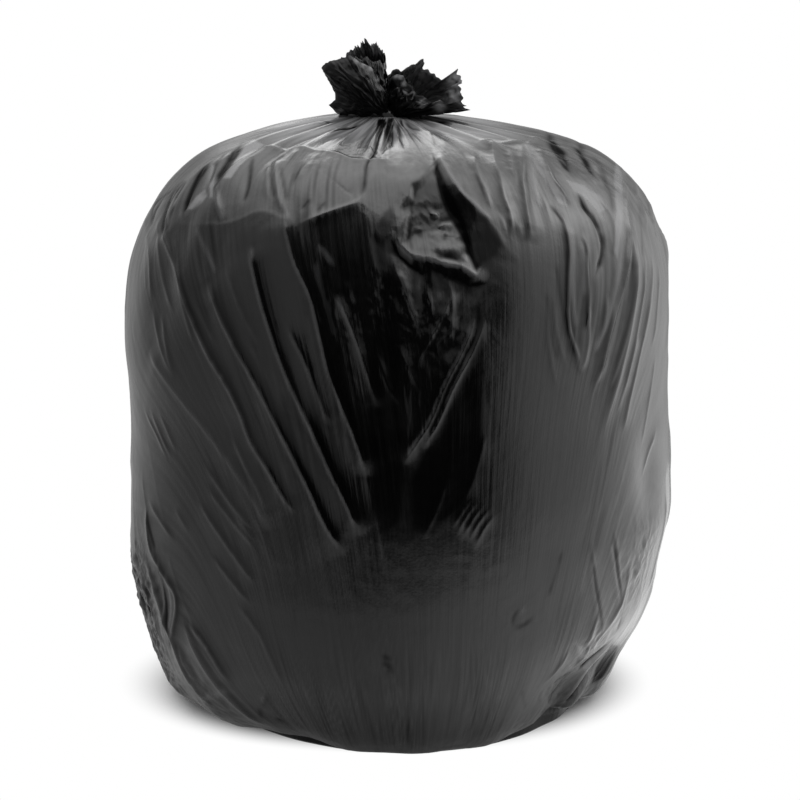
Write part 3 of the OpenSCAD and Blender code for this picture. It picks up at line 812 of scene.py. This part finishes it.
# Fine lines of painted highlight and painted shade, like small crinkles of the film catching and losing the
# light.
for seed, count, stretch, height in CRINKLE_SHADING_LINES:
    patchy = np.clip(pulled_noise(seed + 50, 14, 120) + 0.35, 0, 1)
    drawn = height * (0.22 - np.abs(pulled_noise(seed, count, stretch))) * patchy
    PAINTED_SHADING += drawn * (1 - 0.8 * calm) * np.clip(1 - 1.2 * SHADED, 0, 1)

# Painted sheen: the film is painted paler round the knot and over edges, where it catches the overhead light.
ridge = np.clip(1.2 - np.abs(round_noise(8, 96, REACH / 110)) / 0.35, 0, 1)
SHEEN = 0.42 * eased((128 - REACH) / 55) * (0.45 + 0.55 * ridge)
for painted_shading, *edge in GLEAMS:
    SHEEN = np.maximum(SHEEN, painted_shading * within(edge, 3.0))
SHEEN *= np.clip(1 - 1.3 * SHADED, 0, 1)
SKIN[..., 2] = np.maximum(SKIN[..., 2], PLACE[..., 2] / 2)
SKIN[0, :, 2] = 0


def tube_faces(rings, n, closed=False, whole=True):
    """Quads over rings of n points each. closed joins the last ring to the first, whole the last column."""
    i, j = np.meshgrid(np.arange(rings - (not closed)), np.arange(n - (not whole)), indexing="ij")
    k, up = (j + 1) % n, (i + 1) % rings
    return np.stack([i * n + j, i * n + k, up * n + k, up * n + j], -1).reshape(-1, 4)


def add_mesh(name, points, faces, flow=None, normals=None, painted_shading=None):
    faces = np.asarray(faces, np.int32)
    points = np.asarray(points, np.float32)
    mesh = bpy.data.meshes.new(name)
    mesh.vertices.add(len(points))
    mesh.vertices.foreach_set("co", points.ravel())
    mesh.loops.add(faces.size)
    mesh.loops.foreach_set("vertex_index", faces.ravel())
    mesh.polygons.add(len(faces))
    mesh.polygons.foreach_set("loop_start", np.arange(0, faces.size, faces.shape[1], dtype=np.int32))
    mesh.update(calc_edges=True)
    mesh.validate()
    mesh.polygons.foreach_set("use_smooth", [True] * len(mesh.polygons))
    layers = (("flow", "FLOAT_VECTOR", "vector", flow), ("painted_shading", "FLOAT", "value", painted_shading))
    for label, kind, field, values in layers:
        if values is not None:
            layer = mesh.attributes.new(label, kind, "POINT")
            layer.data.foreach_set(field, np.asarray(values, np.float32).ravel())
    if normals is not None:
        mesh.normals_split_custom_set_from_vertices(np.asarray(normals, np.float32).tolist())
    obj = bpy.data.objects.new(name, mesh)
    bpy.context.scene.collection.objects.link(obj)
    return obj


UNDER = 6


def cap(radius, rise):
    """Ring of points round the middle of the neck."""
    x, y = radius * cosd(A[-1]) - NECK_LEFT, radius * sind(A[-1])
    return np.stack([x, y, np.full(COLUMNS, BODY_H + rise)], -1)


def build_skin():
    """Side, crown and puckered underside as one grid, cut into four sectors that share their edges."""
    foot = SKIN[0]
    under = []
    for k in range(UNDER):
        f = (k + 0.03) / UNDER
        ring = foot * f
        ring[:, 2] = 1.5 * (1 - f) * (0.5 + 0.5 * cosd(23 * T[0] + 360 * f))
        under.append(ring)
    rings = in_metres(np.concatenate([under, SKIN, [cap(NECK_R, 6), cap(0.5, 8)]]))
    flow = np.zeros(rings.shape)
    body = slice(UNDER, UNDER + RINGS)
    flow[body, :, 0] = ACROSS * 360 * RUN * MM
    flow[body, :, 1] = ALONG * MM
    # The third part of flow carries the painted sheen.
    flow[body, :, 2] = SHEEN
    painted_shading = np.zeros(rings.shape[:2])
    painted_shading[body] = PAINTED_SHADING
    flow[:UNDER] = flow[UNDER]
    flow[UNDER + RINGS:] = flow[UNDER + RINGS - 1]
    across = np.roll(rings, -1, 1) - np.roll(rings, 1, 1)
    upward = np.gradient(rings, axis=0)
    normals = np.cross(across, upward)
    normals[:UNDER] = (0, 0, -1)
    normals[-1] = (0, 0, 1)
    normals /= np.linalg.norm(normals, axis=-1, keepdims=True) + 1e-12
    third = FRONT_COLUMNS // 3
    cuts = [0, BACK_COLUMNS, BACK_COLUMNS + third, BACK_COLUMNS + 2 * third, COLUMNS]
    pieces = []
    for name, first, last in zip(("back", "left", "front", "right"), cuts[:-1], cuts[1:]):
        columns = np.arange(first, last + 1) % COLUMNS
        part = flow[:, columns].copy()
        if last == COLUMNS:
            part[:, -1, 0] += 360 * RUN * MM
        faces = tube_faces(len(rings), len(columns), whole=False)
        points, out = (g[:, columns].reshape(-1, 3) for g in (rings, normals))
        pieces.append(add_mesh(f"bag_film_{name}", points, faces, part.reshape(-1, 3), out, painted_shading[:, columns]))
    return pieces


skin = build_skin()


# ---------------------------------------------------------------- knot and ears

def build_knot():
    steps, sides = 180, 44
    a = np.arange(steps)[:, None] * 360.0 / steps
    b = np.arange(sides)[None] * 360.0 / sides
    band = KNOT_BAND / 2
    size = band * (1 + 0.14 * cosd(2 * b + 4 * a) + 0.12 * sind(2 * a + 30))
    twist = b + 2 * a
    n, part = Noise(31, 128), (twist % 360) / 360
    ridges = 0.5 - np.abs(n(part * 16, a / 360 * 10, repeat=16))
    size = size + 1.8 * ridges + 0.8 * (0.5 - np.abs(n(part * 32 + 3, a / 360 * 26, repeat=32)))
    out = size * cosd(b)
    x = (KNOT_W / 2 - band + out) * cosd(a) - NECK_LEFT
    y = (KNOT_D / 2 - band + out) * sind(a)
    z = BODY_H + size * sind(b) + 0.12 * KNOT_BAND * sind(2 * a + 50)
    p = np.stack([x, y, z], -1)
    flow = np.stack([twist * 0.2 * MM + 0 * a, a * 0.5 * MM + 0 * b, 0 * x], -1)
    faces = tube_faces(steps, sides, closed=True)
    return add_mesh("knot_film", in_metres(p.reshape(-1, 3)), faces, flow.reshape(-1, 3))


def from_pixel(x, y, depth):
    """Place in the solid's millimetres that shows at a pixel and lies at a depth, y to the back."""
    ray = FORWARD + (np.asarray(x) - IMAGE / 2)[..., None] / FOCUS_PX * np.array((1.0, 0.0, 0.0))
    ray = ray - (np.asarray(y) - IMAGE / 2)[..., None] / FOCUS_PX * UP
    t = (depth * MM - EYE[1]) / ray[..., 1]
    return (EYE + ray * t[..., None]) / MM + CENTRE


def along_rim(points, count):
    """Evenly stepped points along a ragged rim."""
    points = pairs(points)
    s = steps_along(points)
    t = np.linspace(0, s[-1], count)
    return np.stack([np.interp(t, s, points[:, k]) for k in range(2)], -1)


def build_fan(name, root, front, back, depths, seed, pleats=15, sheen_spots=(), dim=(-0.85, 0.05)):
    """A pouch of crumpled film that fans out from the knot: a near and a far leaf with ragged rims."""
    rings, half = 64, 150
    sides = 2 * half
    rim = np.concatenate([along_rim(front, half), along_rim(back, half)[::-1]])
    there, back_again = (np.sin(np.pi * np.linspace(*ends, half)) ** 0.6 for ends in ((0, 1), (1, 0)))
    open_by = np.concatenate([-depths[0] * there, depths[1] * back_again])
    s = np.linspace(0.0, 1.0, rings)[:, None]
    ring = np.arange(sides)[None] / sides
    noise = Noise(seed, 256)
    outward = np.sign(open_by)[None] + 0 * s

    def crests(count, shift, up):
        return 0.5 - np.abs(noise(ring * count + shift, up, repeat=count))

    def waves(shift, up):
        return 3.2 * noise(ring * 22 + shift, s * 6 + up, repeat=22) * np.sin(np.pi * s)

    def leaf(near, far):
        return np.where(outward < 0, near, far)

    radial = crests(pleats * 2, 0.25 * np.sin(9 * s), s * 1.6)
    finer = crests(pleats * 5, 3, s * 3.2 + 7)
    facets = crests(26, 5, s * 8.0 + 3)
    small = crests(60, 9, s * 19.0 + 3)
    depth = open_by[None] * np.sin(np.pi * 0.5 * s) ** 0.8 * (1 - 0.15 * s)
    relief = 5.0 * radial * s ** 0.7 + 1.6 * finer * s + 2.4 * facets * s + 0.35 * small
    depth = depth + outward * leaf(1 - 0.5 * s ** 2, 1.0) * relief
    jag = 1 + 0.05 * leaf(0.3, 1.0) * noise(ring * 90 + 1, 0 * s + 4.5, repeat=90) * s ** 3
    x = root[0] + (rim[None, :, 0] - root[0]) * s * jag + waves(2, 30)
    y = root[1] + (rim[None, :, 1] - root[1]) * s * jag + waves(12, 50)
    p = from_pixel(x, y, depth + outward * 25.0 * (1 - s ** 2))
    # Painted sheen along the rims and on the crests of the folds, and at the listed spots.
    sheen = eased((s - 0.9) / 0.1) * leaf(0.05, 0.3)
    sheen = np.maximum(sheen, leaf(0.0, 0.05) + leaf(0.04, 0.15) * np.clip(finer, 0, 1) * s)
    uneven = np.clip(0.45 + 1.8 * facets + 1.2 * small, 0.05, 1.3)
    for px, py, size, amount in sheen_spots:
        spot = abs(amount) * bell(np.hypot(x - px, y - py) / size)
        sheen = np.maximum(sheen, spot * (outward * amount > 0) * uneven)
    span = np.linalg.norm(rim - root, axis=-1)
    flow = np.stack([ring * 0.30 + 0 * s, s * span[None] * 0.00085, sheen], -1)
    # Painted shade, mostly over the near leaf, and painted highlight on the crests of the folds.
    painted_shading = leaf(*dim) + 0.7 * np.clip(radial + 0.5 * finer - 0.45, 0, 0.6)
    points, faces = in_metres(p.reshape(-1, 3)), tube_faces(rings, sides)
    return add_mesh(name, points, faces, flow.reshape(-1, 3), None, painted_shading)


knot = build_knot()
# Root of each ear in the picture, rim of its near leaf and of its far leaf, and how far the two open in mm. A
# spot of painted sheen is x, y, size and amount, negative on the near leaf.
ears = [
    build_fan(
        "left_ear_main", (389, 118),
        [341,116, 335,112, 329,105, 335,100, 335,93, 331,85, 326,76, 321,68, 325,63, 333,61, 342,58, 350,55,
         357,60, 364,64, 371,67, 377,75, 384,86, 392,95],
        [341,116, 336,108, 338,96, 335,84, 330,74, 328,67, 336,63, 345,56, 353,51, 355,48, 358,45, 361,51,
         364,49, 366,41, 370,43, 371,48, 374,47, 376,43, 378,48, 384,52, 386,58, 382,66, 388,74],
        (27, 20), 3,
        sheen_spots=[(345, 57, 6, 0.2), (376, 47, 7, 0.5), (357, 60, 3, -0.3), (364, 64, 3, -0.3),
              (371, 68, 3, -0.3), (378, 78, 3, -0.25), (384, 88, 3, -0.2)],
    ),
    build_fan(
        "left_ear_lobe", (386, 112),
        [352,66, 355,56, 361,60, 367,56, 372,62, 380,60, 384,68],
        [352,66, 353,52, 358,46, 366,40, 371,46, 376,43, 383,52, 384,68],
        (4, 13), 8, pleats=9,
        sheen_spots=[(377, 48, 7, 0.5)],
    ),
    build_fan(
        "right_ear_main", (392, 118),
        [386,84, 391,77, 397,74, 403,75, 406,82, 412,86, 416,95, 423,96, 431,103, 440,100, 448,104, 456,102,
         465,108, 471,110, 460,112, 448,111, 436,112, 428,115],
        [386,78, 393,71, 404,70, 414,64, 424,58, 425,61, 423,67, 430,70, 436,75, 442,80, 449,75, 456,70,
         458,74, 464,79, 461,84, 457,83, 462,90, 461,101, 466,106, 452,110, 428,115],
        (26, 18), 5, dim=(-1.02, 0.05),
        sheen_spots=[(456, 80, 9, 1), (455, 95, 9, 0.7), (424, 69, 9, 0.4), (396, 75, 3, -0.3), (401, 76, 3, -0.35),
              (404, 84, 2.5, -0.2), (405, 92, 2.5, -0.2), (440, 106, 5, -0.15), (422, 103, 4, -0.12)],
    ),
    build_fan(
        "right_ear_fold", (396, 116),
        [393,84, 398,79, 404,84, 408,93, 412,101, 416,108, 410,112, 402,114],
        [393,84, 399,76, 407,78, 414,88, 420,98, 424,107, 414,112, 402,114],
        (22, 2), 12, pleats=8, dim=(-1.1, -0.4),
    ),
]


# ---------------------------------------------------------------- materials

def feed(tree, node, inputs):
    """Sets inputs of a node, each to a value or from the output that feeds it."""
    for key, value in inputs.items():
        if isinstance(value, bpy.types.NodeSocket):
            tree.links.new(value, node.inputs[key])
        else:
            node.inputs[key].default_value = value


def add_node(tree, kind, inputs=(), **settings):
    node = tree.nodes.new("ShaderNode" + kind)
    for key, value in settings.items():
        setattr(node, key, value)
    feed(tree, node, dict(inputs))
    return node


def new_material(name):
    mat = bpy.data.materials.new(name)
    mat.use_nodes = True
    return mat, mat.node_tree


# Black film where it lies dull and where it doesn't, painted sheen, and the painted highlight of a crest that
# catches the light.
FILM_DARK, FILM_LESS_DARK = (0.0004, 0.0004, 0.0004, 1), (0.0016, 0.0016, 0.0017, 1)
FILM_SHEEN, FILM_CREST = (0.50, 0.50, 0.51, 1), (0.055, 0.055, 0.056, 1)
FILM_IOR = 1.48


def film_material():
    mat, tree = new_material("black_film")
    flow = add_node(tree, "Attribute", attribute_name="flow").outputs["Vector"]
    painted_shading = add_node(tree, "Attribute", attribute_name="painted_shading").outputs["Fac"]
    place = add_node(tree, "TexCoord").outputs["Object"]

    def noise(source, scale, detail, rough):
        inputs = {"Vector": source, "Scale": scale, "Detail": detail, "Roughness": rough}
        return add_node(tree, "TexNoise", inputs).outputs["Fac"]

    def ranged(value, low, high, to_low, to_high):
        inputs = {"Value": value, "From Min": low, "From Max": high, "To Min": to_low, "To Max": to_high}
        return add_node(tree, "MapRange", inputs).outputs["Result"]

    def blend(share, first, second):
        return add_node(tree, "Mix", {0: share, 6: first, 7: second}, data_type="RGBA").outputs[2]

    def bump(height, strength, distance, **under):
        inputs = {"Height": height, "Strength": strength, "Distance": distance, **under}
        return add_node(tree, "Bump", inputs).outputs["Normal"]

    drawn = add_node(tree, "Mapping", {"Vector": flow, "Scale": (1.0, 0.05, 0.0)}).outputs["Vector"]
    streaks = noise(drawn, 210.0, 4.0, 0.5)
    grain = noise(place, 480.0, 3.0, 0.5)
    tint = add_node(tree, "ValToRGB", {"Fac": noise(place, 9.0, 4.0, 0.6)})
    for stop, at, colour in zip(tint.color_ramp.elements, (0.30, 0.75), (FILM_DARK, FILM_LESS_DARK)):
        stop.position, stop.color = at, colour
    sheen = add_node(tree, "SeparateXYZ", {"Vector": flow}).outputs["Z"]
    # The base colour takes the painted sheen and the painted crest highlight, and the reflection is turned
    # down where shade is painted.
    feed(tree, tree.nodes["Principled BSDF"], {
        "IOR": FILM_IOR,
        "Base Color": blend(painted_shading, blend(sheen, tint.outputs["Color"], FILM_SHEEN), FILM_CREST),
        "Roughness": ranged(streaks, 0.3, 0.7, 0.19, 0.25),
        "Specular IOR Level": ranged(painted_shading, -1.0, 0.0, 0.0, 0.5),
        "Normal": bump(streaks, 0.24, 0.001, Normal=bump(grain, 0.12, 0.0005)),
    })
    return mat


film_mat = film_material()
for piece in [*skin, knot, *ears]:
    piece.data.materials.append(film_mat)
    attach(piece, "root")
    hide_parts("bin_bag")


# ---------------------------------------------------------------- floor and light

def seen_by(tree):
    """1 for camera, glossy and transmission rays, otherwise 0."""
    rays = add_node(tree, "LightPath").outputs
    first = add_node(tree, "Math", {0: rays["Is Camera Ray"], 1: rays["Is Glossy Ray"]}, operation="MAXIMUM")
    inputs = {0: first.outputs[0], 1: rays["Is Transmission Ray"]}
    return add_node(tree, "Math", inputs, operation="MAXIMUM").outputs[0]


# Where the floor's shadow round the bag's foot starts and ends fading to white, in metres from its middle.
SHADOW_MIDDLE, SHADOW_SQUEEZE = (-0.012, 0.03, 0.0), (1.0, 1.2, 0.0)
SHADOW_FROM, SHADOW_TO = 0.178, 0.235


def floor_material():
    """Pale floor that keeps the bag's shadow round its foot and is seen white further out."""
    mat, tree = new_material("floor")
    shader = tree.nodes["Principled BSDF"]
    feed(tree, shader, {"Base Color": (0.86, 0.86, 0.86, 1), "Roughness": 0.9, "Specular IOR Level": 0.2})
    place = add_node(tree, "NewGeometry").outputs["Position"]
    shift = add_node(tree, "VectorMath", {0: place, 1: SHADOW_MIDDLE}, operation="SUBTRACT")
    squeeze = add_node(tree, "VectorMath", {0: shift.outputs[0], 1: SHADOW_SQUEEZE}, operation="MULTIPLY")
    away = add_node(tree, "VectorMath", {0: squeeze.outputs[0]}, operation="LENGTH")
    inputs = {"Value": away.outputs["Value"], "From Min": SHADOW_FROM, "From Max": SHADOW_TO}
    far = add_node(tree, "MapRange", inputs, interpolation_type="SMOOTHSTEP")
    share = add_node(tree, "Math", {0: far.outputs["Result"], 1: seen_by(tree)}, operation="MULTIPLY")
    white = add_node(tree, "Emission").outputs["Emission"]
    mix = add_node(tree, "MixShader", {0: share.outputs[0], 1: shader.outputs["BSDF"], 2: white})
    feed(tree, tree.nodes["Material Output"], {"Surface": mix.outputs[0]})
    return mat


def make_floor(half=12.0):
    corners = [(-half, -half, 0), (half, -half, 0), (half, half, 0), (-half, half, 0)]
    floor = add_mesh("floor", corners, [(0, 1, 2, 3)])
    floor.data.materials.append(floor_material())
    floor.location.z = -0.0005
    floor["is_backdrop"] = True


# Round wall of cards that only the film's gloss sees. Azimuth from the camera, to the right, and level.
WALL_R, WALL_H = 0.92, 2.3
WALL_LEVELS = [(-180, 0.8), (-150, 0.50), (-120, 0.55), (-94, 0.48), (-60, 0.56), (-36, 0.60), (30, 0.42),
               (37, 0.65), (44, 1.0), (52, 1.2), (63, 1.3), (84, 1.6), (100, 1.7), (115, 1.7), (130, 1.1),
               (150, 0.5), (165, 0.55), (180, 0.8)]
# Height at which the upper light begins, by azimuth, and its level by height above that.
UPPER_EDGE = [(-180, 0.84), (-120, 0.80), (-94, 0.86), (-82, 0.95), (-46, 1.40), (0, 1.5), (40, 1.5),
              (72, 0.90), (100, 0.80), (135, 0.84), (160, 1.08), (180, 0.95)]
UPPER_LEVELS = [(0.0, 0.0), (0.12, 0.45), (0.46, 0.9), (1.46, 2.0)]
# Soft boxes: azimuth, height, half width in degrees, half height, level.
SOFT_BOXES = [(-88, 2.1, 45, 0.75, 0.9), (-172, 1.08, 22, 0.24, 2.7), (96, 1.14, 29, 0.40, 2.6)]
BOARD_LEVELS = [(-180, 0.6), (-120, 0.45), (-90, 0.5), (-60, 0.68), (-20, 0.66), (0, 0.75), (40, 1.4),
                (67, 1.5), (91, 1.7), (120, 1.3), (180, 0.7)]

# Black flag on the wall: its level, how soft its edge is in metres, and its edge by the pixels that show it.
FLAG_LEVEL, FLAG_BLUR = 0.004, 0.05
FLAG = [
    306,234, 319,221, 343,213, 362,215, 380,204, 386,225, 388,251, 394,277, 408,318, 440,330, 468,300,
    486,272, 486,400, 484,460, 470,504, 474,545, 450,575, 420,596, 385,600, 343,584, 348,535, 356,500,
    361,456, 347,395, 336,367, 324,324, 313,303, 302,269, 302,247,
]


def on_wall(x, y):
    """Azimuth in degrees and height of the place on the card wall that the plain bag reflects at a pixel."""
    k = shown_at(x, y)
    p, n = in_metres(PLACE[k]), OUT[k] / np.linalg.norm(OUT[k])
    v = (p - EYE) / np.linalg.norm(p - EYE)
    r = v - 2 * (v @ n) * n
    a, b, c = r[0] ** 2 + r[1] ** 2, 2 * (p[0] * r[0] + p[1] * r[1]), p[0] ** 2 + p[1] ** 2 - WALL_R ** 2
    q = p + r * (-b + math.sqrt(b * b - 4 * a * c)) / (2 * a)
    return math.degrees(math.atan2(q[0], -q[1])), q[2]


def glow_card(name, x, y, z, level):
    """A card over a grid of points that gives off light by their level and shows only in gloss."""
    points, colours = np.stack([x, y, z], -1).reshape(-1, 3), np.repeat(level.reshape(-1, 1), 3, axis=1)
    card = add_mesh(name, points, tube_faces(*level.shape, whole=False), colours)
    mat, tree = new_material(name)
    tree.nodes.remove(tree.nodes["Principled BSDF"])
    colour = add_node(tree, "Attribute", attribute_name="flow").outputs["Vector"]
    glow = add_node(tree, "Emission", {"Color": colour}).outputs["Emission"]
    feed(tree, tree.nodes["Material Output"], {"Surface": glow})
    card.data.materials.append(mat)
    card.visible_camera = card.visible_diffuse = card.visible_shadow = card.visible_transmission = False
    card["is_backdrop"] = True


def make_wall():
    az, z = np.meshgrid(np.linspace(-180, 180, 361), np.linspace(0.0, WALL_H, 150))
    level = np.interp(az, *np.array(WALL_LEVELS).T)
    level += np.interp(z - np.interp(az, *np.array(UPPER_EDGE).T), *np.array(UPPER_LEVELS).T)
    for a0, z0, wide, high, glow in SOFT_BOXES:
        level += glow * bell(np.hypot(turn(az - a0) / wide, (z - z0) / high))
    edge = np.array([on_wall(x, y) for x, y in pairs(FLAG)])
    edge[:, 1] = np.maximum(edge[:, 1], -0.2)
    run = math.pi / 180 * WALL_R
    edge[:, 0] *= run
    flag = eased(inside_by(edge, az * run, z) / FLAG_BLUR + 0.5)
    level = level * (1 - flag) + FLAG_LEVEL * flag
    a = np.radians(az)
    glow_card("card_wall", WALL_R * np.sin(a), -WALL_R * np.cos(a), z, level)


def make_boards():
    """Cards that lie on the floor round the bag, dim by its foot and by the camera."""
    az, r = np.meshgrid(np.linspace(-180, 180, 181), np.linspace(0.13, WALL_R, 90))
    level = np.interp(az, *np.array(BOARD_LEVELS).T) * (0.2 + 0.85 * eased((r - 0.15) / 0.12))
    by_camera = eased((55 - np.abs(az + 6)) / 20)
    level = level * (1 - by_camera * eased((r - 0.66) / 0.24))
    a = np.radians(az)
    glow_card("card_boards", r * np.sin(a), -r * np.cos(a), 0.001 + 0 * r, level)


def make_world(soft=0.38):
    """White where the camera and gloss see it, softer as a light."""
    world = bpy.data.worlds.new("studio")
    bpy.context.scene.world = world
    world.use_nodes = True
    tree = world.node_tree
    level = add_node(tree, "MapRange", {"Value": seen_by(tree), "To Min": soft, "To Max": 1.0})
    feed(tree, tree.nodes["Background"], {"Color": (1, 1, 1, 1), "Strength": level.outputs["Result"]})


def make_ceiling():
    """Wide soft light from overhead."""
    light = bpy.data.lights.new("ceiling", "SUN")
    light.angle = math.radians(72)
    light.energy = 2.36
    obj = bpy.data.objects.new("ceiling", light)
    bpy.context.scene.collection.objects.link(obj)
    obj.location = (0, 0, 3)


make_floor()
make_wall()
make_boards()
make_world()
make_ceiling()

bpy.context.scene.view_settings.view_transform = "Standard"

low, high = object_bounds()
